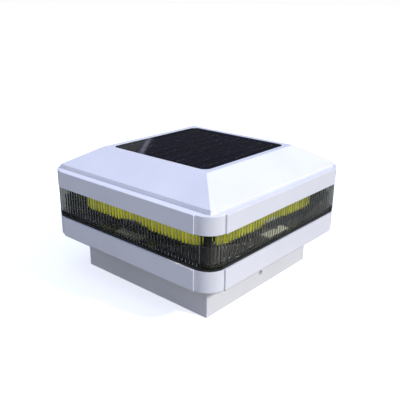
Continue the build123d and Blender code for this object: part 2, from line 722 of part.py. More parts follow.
def make_panel_lead():
    """Lead from the panel's board down to the control board."""
    x, y = panel_lead_place()
    middle = (tray_top_z + ceiling_z) / 2
    slack = 5.0
    points = [(x, y, tape_top_z), (x, y, ceiling_z - 4.0), (x + slack, y - slack, middle + 4.0),
              (x + slack, y - slack, middle - 3.0), (x, y, tray_top_z + 3.0), (x, y, header_top_z)]
    return lead(points, PANEL_LEAD_RADIUS)


# ---------------------------------------------------------------- battery
def contact_tab_z():
    """Underside of the tabs that carry the contacts through the bay's ends."""
    return cell_z + CONTACT_TAB_HEIGHT


def make_battery_cell():
    """AA cell, its raised end towards +X."""
    nub_end = bay_half_length - CONTACT_THICKNESS - 2 * CONTACT_GAP
    can_end = nub_end - CELL_NUB_LENGTH
    can = rod_x(CELL_RADIUS, nub_end - CELL_LENGTH, can_end, 0, cell_z)
    can = fillet(can.edges(), 0.6)
    return can + rod_x(CELL_NUB_RADIUS, can_end, nub_end, 0, cell_z)


def contact_plate(end):
    """Plate at one end of the bay, with its tab folded out through the wall."""
    inner = end * (bay_half_length - CONTACT_THICKNESS - CONTACT_GAP)
    outer = end * (bay_half_length - CONTACT_GAP)
    low, high = cell_z - CONTACT_HEIGHT / 2, cell_z + CONTACT_HEIGHT / 2
    plate = block(CONTACT_THICKNESS, CONTACT_WIDTH, low, high, ((inner + outer) / 2, 0))
    tab_end = end * (bay_outer_length + CONTACT_TAB_REACH)
    tab_top = contact_tab_z() + CONTACT_THICKNESS
    tab_place = ((tab_end + inner) / 2, 0)
    tab = block(abs(tab_end - inner), CONTACT_TAB_WIDTH, contact_tab_z(), tab_top, tab_place)
    return plate + tab


def make_contact_plus():
    """Flat contact for the raised end."""
    return contact_plate(1)


def make_contact_minus():
    """Contact with a bowed leaf that presses the cell."""
    back = -(bay_half_length - CONTACT_THICKNESS - CONTACT_GAP)
    tip = back + SPRING_SPACE - 4 * CONTACT_GAP
    foot, crest = cell_z - CONTACT_HEIGHT / 2, cell_z
    end = cell_z + CONTACT_HEIGHT / 2 - 2.0
    t = CONTACT_THICKNESS
    front = [(back, foot), (tip, crest - 1.0), (tip, crest + 1.0), (back + 1.2, end)]
    rear = [(back + 1.2 - t, end), (tip - t, crest + 0.8), (tip - t, crest - 0.8)]
    outline = Polyline((back - t, foot), *front, *rear, (back - t, foot + t), close=True)
    leaf = extrude(Plane.XZ * make_face(outline), CONTACT_WIDTH / 3, both=True)
    return contact_plate(-1) + leaf


def make_battery_door():
    """Door that closes flush in the floor, with two knuckles on its long edge."""
    near_edge = -opening_half_width + DOOR_HINGE_GAP
    far_edge = opening_half_width - DOOR_CLEARANCE
    half_length = opening_half_length - DOOR_CLEARANCE
    middle = (0, (near_edge + far_edge) / 2)
    door = block(2 * half_length, far_edge - near_edge, door_z, door_top_z, middle)
    groove = block(9.0, 1.4, door_z, door_z + 0.7, (0, far_edge - 2.6))
    door -= groove
    for y in (-2.0, 2.0):
        door += block(DOOR_RIB_LENGTH, DOOR_RIB_WIDTH, door_top_z, door_top_z + DOOR_RIB_HEIGHT, (0, y))
    for x in (-KNUCKLE_SPACING / 2, KNUCKLE_SPACING / 2):
        start, end = x - KNUCKLE_LENGTH / 2, x + KNUCKLE_LENGTH / 2
        arm_depth = near_edge - hinge_y + 1.0
        arm_middle = (x, hinge_y + arm_depth / 2)
        door += block(KNUCKLE_LENGTH, arm_depth, door_z, door_top_z, arm_middle)
        door += rod_x(KNUCKLE_RADIUS, start, end, hinge_y, hinge_z)
        door -= rod_x(HINGE_PIN_RADIUS + HINGE_RUNNING, start - 1, end + 1, hinge_y, hinge_z)
    return door


def make_hinge_pin():
    """Steel pin through both knuckles."""
    half = (KNUCKLE_SPACING + KNUCKLE_LENGTH) / 2 + HINGE_CHEEK - 0.5
    return rod_x(HINGE_PIN_RADIUS, -half, half, hinge_y, hinge_z)


# ---------------------------------------------------------------- switch
def make_switch_body():
    """Hollow case of the slide switch, screwed down by its ears."""
    top = floor_z + SWITCH_HEIGHT
    body = block(SWITCH_LENGTH, SWITCH_WIDTH, floor_z, top, SWITCH_PLACE)
    body += block(SWITCH_EAR_LENGTH, SWITCH_WIDTH, floor_z, floor_z + SWITCH_EAR_THICKNESS, SWITCH_PLACE)
    inside = (SWITCH_LENGTH - 2 * SWITCH_WALL, SWITCH_WIDTH - 2 * SWITCH_WALL)
    body -= block(*inside, floor_z + SWITCH_WALL, top - SWITCH_WALL, SWITCH_PLACE)
    body -= knob_slot(floor_z, floor_z + SWITCH_WALL)
    for place in switch_screw_places():
        body -= post(SMALL_SCREW_RADIUS + LEAD_GAP, floor_z, floor_z + SWITCH_EAR_THICKNESS, place)
    return body


def make_switch_knob():
    """Slider at its off end, with a ribbed tip."""
    place = (SWITCH_PLACE[0] - SWITCH_TRAVEL / 2, SWITCH_PLACE[1])
    foot_z = floor_z + SWITCH_WALL + KNOB_PLAY
    tip_z = seat_z + KNOB_RECESS
    knob = block(KNOB_LENGTH, KNOB_WIDTH, tip_z, foot_z, place)
    knob += block(KNOB_FOOT_LENGTH, KNOB_FOOT_WIDTH, foot_z, foot_z + KNOB_FOOT_HEIGHT, place)
    for shift in (-1.2, 0.0, 1.2):
        knob -= block(0.5, KNOB_WIDTH, tip_z, tip_z + 0.4, (place[0] + shift, place[1]))
    return knob


def pin_places():
    """The switch's solder pins."""
    x, y = SWITCH_PLACE
    return [(x + (index - (PIN_COUNT - 1) / 2) * PIN_PITCH, y) for index in range(PIN_COUNT)]


def make_switch_pins():
    """Solder pins on top of the switch."""
    bottom = floor_z + SWITCH_HEIGHT
    pins = [post(PIN_RADIUS, bottom, bottom + PIN_LENGTH, place) for place in pin_places()]
    return Compound(children=pins)


def small_screw(place, seat, bite):
    """Pan-head screw seated at a height."""
    return post(SMALL_SCREW_RADIUS, seat - bite, seat, place) + post(
        SMALL_HEAD_RADIUS, seat, seat + SMALL_HEAD_HEIGHT, place)


def make_switch_screws():
    """Two screws through the switch's ears."""
    seat = floor_z + SWITCH_EAR_THICKNESS
    bite = SWITCH_EAR_THICKNESS + EAR_SCREW_BITE - LEAD_GAP
    return Compound(children=[small_screw(place, seat, bite) for place in switch_screw_places()])


# ---------------------------------------------------------------- control board
def make_control_board():
    """Board on four standoffs beside the battery bay."""
    board = block(BOARD_LENGTH, BOARD_DEPTH, board_z, board_top_z, (0, board_y))
    for place in board_screw_places():
        board -= post(SMALL_SCREW_RADIUS + LEAD_GAP, board_z, board_top_z, place)
    return board


def make_board_screws():
    """Four screws that hold the control board."""
    bite = BOARD_THICKNESS + SMALL_SCREW_BITE - LEAD_GAP
    return Compound(children=[small_screw(place, board_top_z, bite) for place in board_screw_places()])


def make_control_chip():
    """Charge and lamp driver chip."""
    return block(CHIP_SIZE[0], CHIP_SIZE[1], board_top_z, board_top_z + CHIP_SIZE[2], (-9.0, board_y - 2.0))


def make_choke_coil():
    """Wound drum choke of the lamp driver."""
    place = (12.0, board_y - 4.0)
    drum = post(CHOKE_RADIUS, board_top_z, board_top_z + CHOKE_HEIGHT, place)
    low, high = board_top_z + 1.0, board_top_z + CHOKE_HEIGHT - 1.0
    groove = post(CHOKE_RADIUS + 1, low, high, place) - post(CHOKE_RADIUS - 0.8, low, high, place)
    return drum - groove


def make_capacitor():
    """Electrolytic capacitor lying on the board."""
    z = board_top_z + CAPACITOR_RADIUS
    return rod_x(CAPACITOR_RADIUS, -16.0, -16.0 + CAPACITOR_LENGTH, board_y + 7.5, z)


def make_lead_headers():
    """Plug headers for the leads: two at the sides, one to the battery and one to the panel."""
    places = [(SIDE_HEADER, (side_header_x, board_y)), (SIDE_HEADER, (-side_header_x, board_y)),
              (BATTERY_HEADER, (0.0, battery_header_y)), (PANEL_HEADER, (0.0, panel_header_y))]
    return Compound(children=[block(*size, board_top_z, header_top_z, place) for size, place in places])


def battery_header_face():
    """The battery header's face towards the bay."""
    return battery_header_y - BATTERY_HEADER[1] / 2


def make_battery_lead(end):
    """Lead from one contact's tab round the bay to the battery header."""
    tab_end = bay_outer_length + CONTACT_TAB_REACH + LEAD_GAP
    turn_x = tab_end + 5.0
    turn_y = bay_outer_width + 5.5
    header_x = end * 2.0
    tab_z = contact_tab_z() + CONTACT_THICKNESS / 2
    points = [(end * tab_end, 0.0, tab_z), (end * turn_x, 0.0, tab_z), (end * turn_x, turn_y - 1.0, lead_z),
              (end * 12.0, turn_y, lead_z), (header_x, turn_y + 2.5, lead_z),
              (header_x, battery_header_face(), lead_z)]
    return lead(points, BATTERY_LEAD_RADIUS)


def make_switch_lead():
    """Lead from the switch round the bay to the battery header."""
    x, y = pin_places()[0]
    pin_top = floor_z + SWITCH_HEIGHT + PIN_LENGTH
    far_x = -(bay_outer_length + 12.0)
    turn_y = bay_outer_width + 9.0
    points = [(x, y, pin_top), (x, y, pin_top + 2.0), (x - 14.0, y + 1.0, lead_z + 0.4),
              (far_x, y + 12.0, lead_z),
              (far_x, turn_y - 2.0, lead_z), (far_x + 14.0, turn_y + 1.0, lead_z),
              (-5.5, turn_y + 0.5, lead_z), (-5.5, battery_header_face(), lead_z)]
    return lead(points, LEAD_RADIUS)


# ---------------------------------------------------------------- all nodes
def make_nodes():
    """Every piece by its node's name."""
    nodes = {
        "post_collar": make_post_collar(),
        "base_housing": make_base_housing(),
        "top_cover": make_top_cover(),
        "lens_ring": make_lens_ring(),
        "lens_gasket": make_lens_gasket(),
        "cover_seal": make_cover_seal(),
        "light_tray": make_light_tray(),
        "ceiling_plate": make_ceiling_plate(),
        "reflector_ring": make_reflector_ring(),
        "case_screws": make_case_screws(),
        "panel_cover": make_panel_cover(),
        "solar_cells": make_solar_cells(),
        "cell_tabs": make_cell_tabs(),
        "panel_board": make_panel_board(),
        "panel_tape": make_panel_tape(),
        "panel_lead": make_panel_lead(),
        "battery_cell": make_battery_cell(),
        "contact_plus": make_contact_plus(),
        "contact_minus": make_contact_minus(),
        "battery_door": make_battery_door(),
        "hinge_pin": make_hinge_pin(),
        "switch_body": make_switch_body(),
        "switch_knob": make_switch_knob(),
        "switch_pins": make_switch_pins(),
        "switch_screws": make_switch_screws(),
        "control_board": make_control_board(),
        "board_screws": make_board_screws(),
        "control_chip": make_control_chip(),
        "choke_coil": make_choke_coil(),
        "capacitor": make_capacitor(),
        "lead_headers": make_lead_headers(),
        "battery_lead_plus": make_battery_lead(1),
        "battery_lead_minus": make_battery_lead(-1),
        "switch_lead": make_switch_lead(),
    }
    for side in range(SIDES):
        nodes[f"led_mount_{side + 1}"] = make_led_mount(side)
        nodes[f"led_board_{side + 1}"] = make_led_board(side)
        nodes[f"led_{side + 1}"] = make_led(side)
        nodes[f"led_lead_{side + 1}"] = make_led_lead(side)
    return nodes


os.makedirs("parts", exist_ok=True)
for name, piece in make_nodes().items():
    export_step(piece, f"parts/{name}.step")
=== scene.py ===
"""Looks of a square solar post cap light, dressed round its construction model.

Metres. The origin is the middle of the collar's bottom rim and +Z is up; the four faces look along
X and Y. Places come from the construction model's boxes, and every surface made here is worked out
as whole arrays: a profile carried along a path, or a function of two parameters on a grid.
"""
import logging
import math
from dataclasses import dataclass
from enum import Enum

import bpy
import numpy as np
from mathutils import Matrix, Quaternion, Vector


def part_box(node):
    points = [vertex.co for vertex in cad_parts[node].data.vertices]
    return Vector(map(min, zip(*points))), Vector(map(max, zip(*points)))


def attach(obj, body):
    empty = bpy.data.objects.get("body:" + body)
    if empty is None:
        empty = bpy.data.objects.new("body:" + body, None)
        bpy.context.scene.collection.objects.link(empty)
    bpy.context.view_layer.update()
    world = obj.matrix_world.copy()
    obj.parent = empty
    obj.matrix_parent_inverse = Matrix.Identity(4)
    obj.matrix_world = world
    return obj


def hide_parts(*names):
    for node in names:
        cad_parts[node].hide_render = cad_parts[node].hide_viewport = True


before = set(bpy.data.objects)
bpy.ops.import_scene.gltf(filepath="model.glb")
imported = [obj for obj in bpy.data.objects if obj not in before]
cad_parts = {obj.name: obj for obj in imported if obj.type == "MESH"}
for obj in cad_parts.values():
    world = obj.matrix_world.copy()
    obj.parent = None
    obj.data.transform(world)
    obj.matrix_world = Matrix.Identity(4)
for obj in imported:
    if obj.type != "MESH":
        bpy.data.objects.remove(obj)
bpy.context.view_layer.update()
MM = 0.001
SIDES = 4
NOISE_ROUGHNESS = 0.55
PLASTIC_INDEX = 1.49
SHARP_ANGLE = math.radians(38)
Colour = tuple[float, float, float]
LOG = logging.getLogger("post_cap_light")


# ------------------------------------------------------------------ shader nodes
class Sheet:
    """A node tree with short ways to add and join nodes."""

    def __init__(self, tree: bpy.types.NodeTree) -> None:
        """Keeps the tree that nodes go to."""
        self.tree = tree

    def put(self, socket: bpy.types.NodeSocket, value: object) -> None:
        """Links an output to the socket, or sets the socket's own value."""
        if isinstance(value, bpy.types.NodeSocket):
            self.tree.links.new(value, socket)
        else:
            socket.default_value = value

    def node(self, kind: str, settings: dict | None = None, **inputs: object) -> bpy.types.Node:
        """Adds a shader node.

        Args:
            kind: the node type's name after ShaderNode.
            settings: properties of the node.
            inputs: values or outputs for its sockets, with _ for a space.

        Returns:
            The new node.
        """
        made = self.tree.nodes.new("ShaderNode" + kind)
        for name, value in (settings or {}).items():
            setattr(made, name, value)
        for name, value in inputs.items():
            self.put(made.inputs[name.replace("_", " ")], value)
        return made

    def maths(self, operation: str, *values: object, clamp: bool = False) -> bpy.types.NodeSocket:
        """Output of a Math node on one to three values."""
        made = self.node("Math", {"operation": operation, "use_clamp": clamp})
        for socket, value in zip(made.inputs, values):
            self.put(socket, value)
        return made.outputs[0]

    def spread(
        self, value: object, low: float, high: float, to_low: float, to_high: float
    ) -> bpy.types.NodeSocket:
        """Output of a Map Range node, held inside its new range."""
        made = self.node("MapRange", {"clamp": True}, Value=value)
        names = ("From Min", "From Max", "To Min", "To Max")
        for name, number in zip(names, (low, high, to_low, to_high)):
            made.inputs[name].default_value = number
        return made.outputs["Result"]

    def tint(self, share: object, first: object, second: object) -> bpy.types.NodeSocket:
        """Output of a colour Mix node."""
        made = self.node("Mix", {"data_type": "RGBA"})
        for socket, value in ((made.inputs[0], share), (made.inputs[6], first), (made.inputs[7], second)):
            self.put(socket, rgba(value) if isinstance(value, tuple) else value)
        return made.outputs[2]

    def noise(self, where: object, scale: float, detail: float = 3.0) -> bpy.types.NodeSocket:
        """Value of a Noise Texture."""
        made = self.node("TexNoise", None, Vector=where, Scale=scale, Detail=detail)
        made.inputs["Roughness"].default_value = NOISE_ROUGHNESS
        return made.outputs[0]

    def bump(self, height: object, **normal: object) -> bpy.types.NodeSocket:
        """Normal of a Bump node whose height is in metres, over another Normal if one is given."""
        return self.node("Bump", None, Height=height, Distance=1.0, **normal).outputs[0]

    def blend(self, share: object, first: bpy.types.Node, second: bpy.types.Node) -> bpy.types.NodeSocket:
        """Output of a Mix Shader between two shaders."""
        made = self.node("MixShader")
        for socket, value in zip(made.inputs, (share, first.outputs[0], second.outputs[0])):
            self.put(socket, value)
        return made.outputs[0]

    def place(self) -> bpy.types.NodeSocket:
        """The piece's own coordinates, in metres."""
        return self.node("TexCoord").outputs["Object"]

    def effect(self, group: bpy.types.NodeTree, **values: object) -> bpy.types.Node:
        """Adds a shared effect with its own values."""
        made = self.tree.nodes.new("ShaderNodeGroup")
        made.node_tree = group
        for name, value in values.items():
            self.put(made.inputs[name.replace("_", " ")], value)
        return made


def rgba(colour: tuple[float, ...]) -> tuple[float, ...]:
    """A linear colour with full alpha."""
    return (*colour[:3], 1.0)


def new_effect(
    name: str, inputs: dict[str, float], outputs: tuple[str, ...]
) -> tuple[Sheet, bpy.types.Node, bpy.types.Node]:
    """Starts a node group for an effect that several finishes share.

    Args:
        name: the group's name.
        inputs: number sockets and their usual values.
        outputs: names of the number sockets it puts out; Normal is a vector.

    Returns:
        The group's sheet, its input node and its output node.
    """
    tree = bpy.data.node_groups.new(name, "ShaderNodeTree")
    for socket, value in inputs.items():
        made = tree.interface.new_socket(name=socket, in_out="INPUT", socket_type="NodeSocketFloat")
        made.default_value = value
    for socket in outputs:
        kind = "NodeSocketVector" if socket == "Normal" else "NodeSocketFloat"
        tree.interface.new_socket(name=socket, in_out="OUTPUT", socket_type=kind)
    return Sheet(tree), tree.nodes.new("NodeGroupInput"), tree.nodes.new("NodeGroupOutput")


def worn_edge_effect() -> bpy.types.NodeTree:
    """Rounds sharp edges in the shading and masks where hands and weather rub them.

    Returns:
        A group that puts out the rounded Normal and an Edge mask.
    """
    start = {"Radius": 0.5 * MM, "Patch": 180.0}
    sheet, given, out = new_effect("worn_edges", start, ("Normal", "Edge"))
    rounded = sheet.node("Bevel", {"samples": 4}, Radius=given.outputs["Radius"])
    plain = sheet.node("NewGeometry").outputs["Normal"]
    meeting = sheet.node("VectorMath", {"operation": "DOT_PRODUCT"})
    sheet.put(meeting.inputs[0], rounded.outputs[0])
    sheet.put(meeting.inputs[1], plain)
    turned = sheet.spread(meeting.outputs["Value"], 0.995, 0.8, 0.0, 1.0)
    patchy = sheet.node("TexNoise", None, Vector=sheet.place(), Scale=given.outputs["Patch"], Detail=4.0)
    kept = sheet.spread(patchy.outputs[0], 0.38, 0.62, 0.25, 1.0)
    sheet.put(out.inputs["Edge"], sheet.maths("MULTIPLY", turned, kept, clamp=True))
    sheet.put(out.inputs["Normal"], rounded.outputs[0])
    return sheet.tree


def mould_grain_effect() -> bpy.types.NodeTree:
    """Fine spark-eroded texture of a mould with slow waves of shrinkage under it.

    Returns:
        A group that puts out a bump Height in metres and a Gloss change round zero.
    """
    start = {"Grain": 1400.0, "Depth": 0.00002, "Waves": 22.0, "Wave Depth": 0.00003}
    sheet, given, out = new_effect("mould_grain", start, ("Height", "Gloss"))
    where = sheet.place()
    fine = sheet.node("TexNoise", None, Vector=where, Scale=given.outputs["Grain"], Detail=2.0).outputs[0]
    slow = sheet.node("TexNoise", None, Vector=where, Scale=given.outputs["Waves"], Detail=2.0).outputs[0]
    grain = sheet.maths("MULTIPLY", fine, given.outputs["Depth"])
    waves = sheet.maths("MULTIPLY", slow, given.outputs["Wave Depth"])
    sheet.put(out.inputs["Height"], sheet.maths("ADD", grain, waves))
    mixed = sheet.maths("ADD", sheet.maths("MULTIPLY", fine, 0.4), sheet.maths("MULTIPLY", slow, 0.6))
    sheet.put(out.inputs["Gloss"], sheet.maths("SUBTRACT", mixed, 0.5))
    return sheet.tree


def dust_effect() -> bpy.types.NodeTree:
    """Thin film of outdoor dust, thickest on faces that look up.

    Returns:
        A group that puts out a Dust mask.
    """
    sheet, given, out = new_effect("settled_dust", {"Amount": 0.3, "Patch": 35.0}, ("Dust",))
    normal = sheet.node("NewGeometry").outputs["Normal"]
    facing = sheet.node("SeparateXYZ", None, Vector=normal).outputs["Z"]
    upward = sheet.spread(facing, -0.2, 1.0, 0.15, 1.0)
    cloud = sheet.node("TexNoise", None, Vector=sheet.place(), Scale=given.outputs["Patch"], Detail=8.0)
    patches = sheet.spread(cloud.outputs[0], 0.35, 0.75, 0.0, 1.0)
    film = sheet.maths("MULTIPLY", upward, patches)
    sheet.put(out.inputs["Dust"], sheet.maths("MULTIPLY", film, given.outputs["Amount"], clamp=True))
    return sheet.tree


@dataclass(frozen=True)
class Effects:
    """The node groups that finishes share."""

    edges: bpy.types.NodeTree
    grain: bpy.types.NodeTree
    dust: bpy.types.NodeTree


EFFECTS = Effects(worn_edge_effect(), mould_grain_effect(), dust_effect())


# ------------------------------------------------------------------ finishes
def new_material(name: str) -> tuple[bpy.types.Material, Sheet, bpy.types.Node]:
    """A material with an empty tree and one output.

    Args:
        name: the material's name.

    Returns:
        The material, its sheet and its output node.
    """
    material = bpy.data.materials.new(name)
    material.use_nodes = True
    material.node_tree.nodes.clear()
    sheet = Sheet(material.node_tree)
    return material, sheet, sheet.node("OutputMaterial")


@dataclass(frozen=True)
class Moulding:
    """A moulded plastic or rubber: a base colour that drifts a little, a worn and a dusty shade."""

    name: str
    colour: Colour
    worn: Colour
    dusty: Colour = (0.55, 0.52, 0.46)
    roughness: float = 0.4
    drift: float = 0.06
    dust: float = 0.12
    wear: float = 0.5
    grain: float = 1400.0
    grain_depth: float = 0.02 * MM
    edge_radius: float = 0.25 * MM
    coat: float = 0.0
    coat_roughness: float = 0.12
    specular: float = 0.5

    def build(self) -> bpy.types.Material:
        """Makes the material.

        Returns:
            A Principled material with grain, rounded edges, edge wear and dust.
        """
        material, sheet, out = new_material(self.name)
        edges = sheet.effect(EFFECTS.edges, Radius=self.edge_radius)
        grain = sheet.effect(EFFECTS.grain, Grain=self.grain, Depth=self.grain_depth)
        dust = sheet.effect(EFFECTS.dust, Amount=self.dust)
        shade = tuple(channel * (1 - self.drift) for channel in self.colour)
        slow = sheet.spread(sheet.noise(sheet.place(), 14.0), 0.35, 0.65, 0.0, 1.0)
        base = sheet.tint(slow, shade, self.colour)
        rubbed = sheet.maths("MULTIPLY", edges.outputs["Edge"], self.wear)
        base = sheet.tint(rubbed, base, self.worn)
        base = sheet.tint(dust.outputs["Dust"], base, self.dusty)
        rough = sheet.maths("MULTIPLY_ADD", grain.outputs["Gloss"], 0.3, self.roughness)
        rough = sheet.maths("MULTIPLY_ADD", dust.outputs["Dust"], 0.4, rough, clamp=True)
        bump = sheet.bump(grain.outputs["Height"], Normal=edges.outputs["Normal"])
        shader = sheet.node("BsdfPrincipled", None, Base_Color=base, Roughness=rough, Normal=bump)
        shader.inputs["IOR"].default_value = PLASTIC_INDEX
        shader.inputs["Specular IOR Level"].default_value = self.specular
        shader.inputs["Coat Weight"].default_value = self.coat
        shader.inputs["Coat Roughness"].default_value = self.coat_roughness
        sheet.put(out.inputs["Surface"], shader.outputs[0])
        return material


@dataclass(frozen=True)
class ClearMoulding:
    """A clear plastic that lets lamp light through to what it encloses."""

    name: str
    colour: Colour
    roughness: float
    index: float
    haze: float
    # shade names a point attribute of painted shade; painted_shade_colour is the tint where it is 0
    shade: str = ""
    painted_shade_colour: Colour = (0.10, 0.10, 0.09)

    def build(self) -> bpy.types.Material:
        """Makes the material. It carries painted shade, darkest where the attribute named by shade, if
        any, is 0.

        Returns:
            A glassy Principled material with flow marks, mixed with Transparent for shadow rays only.
        """
        material, sheet, out = new_material(self.name)
        grain = sheet.effect(EFFECTS.grain, Grain=500.0, Depth=0.004 * MM)
        cloud = sheet.spread(sheet.noise(sheet.place(), 60.0, 5.0), 0.4, 0.7, 0.0, self.haze)
        rough = sheet.maths("ADD", cloud, self.roughness)
        bump = sheet.bump(grain.outputs["Height"])
        faint = tuple(channel * 0.93 for channel in self.colour)
        drift = sheet.tint(sheet.noise(sheet.place(), 30.0), faint, self.colour)
        # painted shade: the glass tint runs to painted_shade_colour where the attribute is 0
        if self.shade:
            lit = sheet.node("Attribute", {"attribute_name": self.shade}).outputs["Fac"]
            drift = sheet.tint(lit, self.painted_shade_colour, drift)
        shader = sheet.node("BsdfPrincipled", None, Base_Color=drift, Roughness=rough, Normal=bump)
        shader.inputs["IOR"].default_value = self.index
        shader.inputs["Transmission Weight"].default_value = 1.0
        clear = sheet.node("BsdfTransparent", None, Color=rgba(self.colour))
        shadow = sheet.node("LightPath").outputs["Is Shadow Ray"]
        sheet.put(out.inputs["Surface"], sheet.blend(shadow, shader, clear))
        return material


class Plating(Enum):
    """Metals of this light: colour and roughness."""

    ZINC = ((0.62, 0.63, 0.66), 0.32)
    TINNED = ((0.30, 0.30, 0.34), 0.42)
    NICKEL = ((0.66, 0.63, 0.57), 0.24)


@dataclass(frozen=True)
class Metal:
    """A plated metal with fine drawn lines, tarnish and bright edges."""

    name: str
    plating: Plating
    bright: Colour = (0.85, 0.85, 0.87)
    line_scale: float = 2600.0
    line_depth: float = 0.008 * MM

    def build(self) -> bpy.types.Material:
        """Makes the material.

        Returns:
            A metallic Principled material.
        """
        colour, roughness = self.plating.value
        material, sheet, out = new_material(self.name)
        edges = sheet.effect(EFFECTS.edges, Radius=0.2 * MM, Patch=600.0)
        where = sheet.node("Mapping", None, Vector=sheet.place(), Scale=(1.0, 1.0, 0.12)).outputs[0]
        lines = sheet.noise(where, self.line_scale, 2.0)
        tarnish = sheet.spread(sheet.noise(sheet.place(), 240.0, 5.0), 0.42, 0.72, 0.0, 0.6)
        dull = tuple(channel * 0.45 for channel in colour)
        base = sheet.tint(tarnish, colour, dull)
        base = sheet.tint(sheet.maths("MULTIPLY", edges.outputs["Edge"], 0.5), base, self.bright)
        rough = sheet.maths("MULTIPLY_ADD", lines, 0.25, roughness - 0.1)
        rough = sheet.maths("MULTIPLY_ADD", tarnish, 0.3, rough, clamp=True)
        height = sheet.maths("MULTIPLY", lines, self.line_depth)
        bump = sheet.bump(height, Normal=edges.outputs["Normal"])
        shader = sheet.node("BsdfPrincipled", None, Base_Color=base, Roughness=rough, Normal=bump)
        shader.inputs["Metallic"].default_value = 1.0
        sheet.put(out.inputs["Surface"], shader.outputs[0])
        return material


@dataclass(frozen=True)
class Silicon:
    """Polycrystalline silicon under a dark film: angular grains of slightly different blue."""

    name: str = "silicon_wafer"
    dark: Colour = (0.0045, 0.0045, 0.007)
    light: Colour = (0.011, 0.012, 0.022)
    crystals_per_metre: float = 230.0
    etch_depth: float = 0.004 * MM
    specular: float = 0.2

    def build(self) -> bpy.types.Material:
        """Makes the material.

        Returns:
            A dark Principled material with crystal grains.
        """
        material, sheet, out = new_material(self.name)
        crystals = sheet.node("TexVoronoi", {"feature": "F1"}, Vector=sheet.place(), Randomness=1.0)
        crystals.inputs["Scale"].default_value = self.crystals_per_metre
        shade = sheet.node("SeparateColor", None, Color=crystals.outputs["Color"]).outputs[0]
        base = sheet.tint(shade, self.dark, self.light)
        rough = sheet.spread(shade, 0.0, 1.0, 0.28, 0.42)
        bump = sheet.bump(sheet.maths("MULTIPLY", shade, self.etch_depth))
        shader = sheet.node("BsdfPrincipled", None, Base_Color=base, Roughness=rough, Normal=bump)
        shader.inputs["Specular IOR Level"].default_value = self.specular
        sheet.put(out.inputs["Surface"], shader.outputs[0])
        return material


@dataclass(frozen=True)
class SolderMask:
    """A circuit board: lacquer over a weave, with copper tracks under it as a lighter net."""

    name: str
    colour: Colour
    track: Colour
    track_height: float = 0.03 * MM
    weave_height: float = 0.006 * MM

    def build(self) -> bpy.types.Material:
        """Makes the material.

        Returns:
            A glossy Principled material with tracks.
        """
        material, sheet, out = new_material(self.name)
        where = sheet.place()
        shape = {"feature": "DISTANCE_TO_EDGE", "distance": "CHEBYCHEV"}
        net = sheet.node("TexVoronoi", shape, Vector=where, Scale=190.0)
        tracks = sheet.spread(net.outputs["Distance"], 0.05, 0.09, 1.0, 0.0)
        weave = sheet.noise(where, 1800.0, 2.0)
        base = sheet.tint(tracks, self.colour, self.track)
        fine = sheet.maths("MULTIPLY", weave, self.weave_height)
        bump = sheet.bump(sheet.maths("MULTIPLY_ADD", tracks, self.track_height, fine))
        rough = sheet.spread(weave, 0.3, 0.7, 0.22, 0.36)
        shader = sheet.node("BsdfPrincipled", None, Base_Color=base, Roughness=rough, Normal=bump)
        sheet.put(out.inputs["Surface"], shader.outputs[0])
        return material


@dataclass(frozen=True)
class CellWrap:
    """Shrink sleeve of the cell, along X: a coloured body with a pale band towards one end."""

    name: str = "cell_wrap"
    body: Colour = (0.05, 0.24, 0.10)
    band: Colour = (0.72, 0.72, 0.70)
    metal: Colour = (0.62, 0.62, 0.62)
    crease_depth: float = 0.08 * MM
    band_from: float = 9.0 * MM
    band_to: float = 16.0 * MM
    bare_from: float = 25.0 * MM

    def build(self) -> bpy.types.Material:
        """Makes the material.

        Returns:
            A glossy sleeve with bare metal at both ends.
        """
        material, sheet, out = new_material(self.name)
        along = sheet.node("SeparateXYZ", None, Vector=sheet.place()).outputs["X"]
        after = sheet.maths("GREATER_THAN", along, self.band_from)
        before = sheet.maths("LESS_THAN", along, self.band_to)
        bare = sheet.maths("GREATER_THAN", sheet.maths("ABSOLUTE", along), self.bare_from)
        base = sheet.tint(sheet.maths("MULTIPLY", after, before), self.body, self.band)
        base = sheet.tint(bare, base, self.metal)
        squeezed = sheet.node("Mapping", None, Vector=sheet.place(), Scale=(4.0, 1.0, 1.0))
        creases = sheet.noise(squeezed.outputs[0], 160.0)
        bump = sheet.bump(sheet.maths("MULTIPLY", creases, self.crease_depth))
        rough = sheet.spread(creases, 0.3, 0.7, 0.16, 0.3)
        shader = sheet.node("BsdfPrincipled", None, Base_Color=base, Roughness=rough, Normal=bump)
        sheet.put(shader.inputs["Metallic"], bare)
        sheet.put(out.inputs["Surface"], shader.outputs[0])
        return material


@dataclass(frozen=True)
class ReflectorFilm:
    """Yellow-green fluorescent film: bright along the flutes, olive in their roots (painted shade)."""

    name: str = "reflector_film_painted_light"
    bright: Colour = (0.86, 0.86, 0.02)
    # olive is the painted shade of the flutes' roots
    olive: Colour = (0.17, 0.19, 0.012)
    # painted glow: the film gives off light though it is no lamp
    glow: float = 0.62

    def build(self) -> bpy.types.Material:
        """Makes the material.

        Returns:
            A glossy Principled material that glows steadily in its own colour, which is painted light.
        """
        material, sheet, out = new_material(self.name)
        # the flute mask carries painted shade in the roots; the same colour feeds the painted glow
        shade = sheet.node("Attribute", {"attribute_name": "flute"}).outputs["Fac"]
        cloud = sheet.spread(sheet.noise(sheet.place(), 90.0, 4.0), 0.35, 0.65, 0.75, 1.0)
        base = sheet.tint(sheet.maths("MULTIPLY", shade, cloud), self.olive, self.bright)
        rough = sheet.spread(cloud, 0.75, 1.0, 0.45, 0.3)
        # painted glow: emission in the film's own colour, brightest on the crests
        shader = sheet.node("BsdfPrincipled", None, Base_Color=base, Roughness=rough, Emission_Color=base)
        shader.inputs["Emission Strength"].default_value = self.glow
        sheet.put(out.inputs["Surface"], shader.outputs[0])
        return material


Finish = Moulding | ClearMoulding | Metal | Silicon | SolderMask | CellWrap | ReflectorFilm


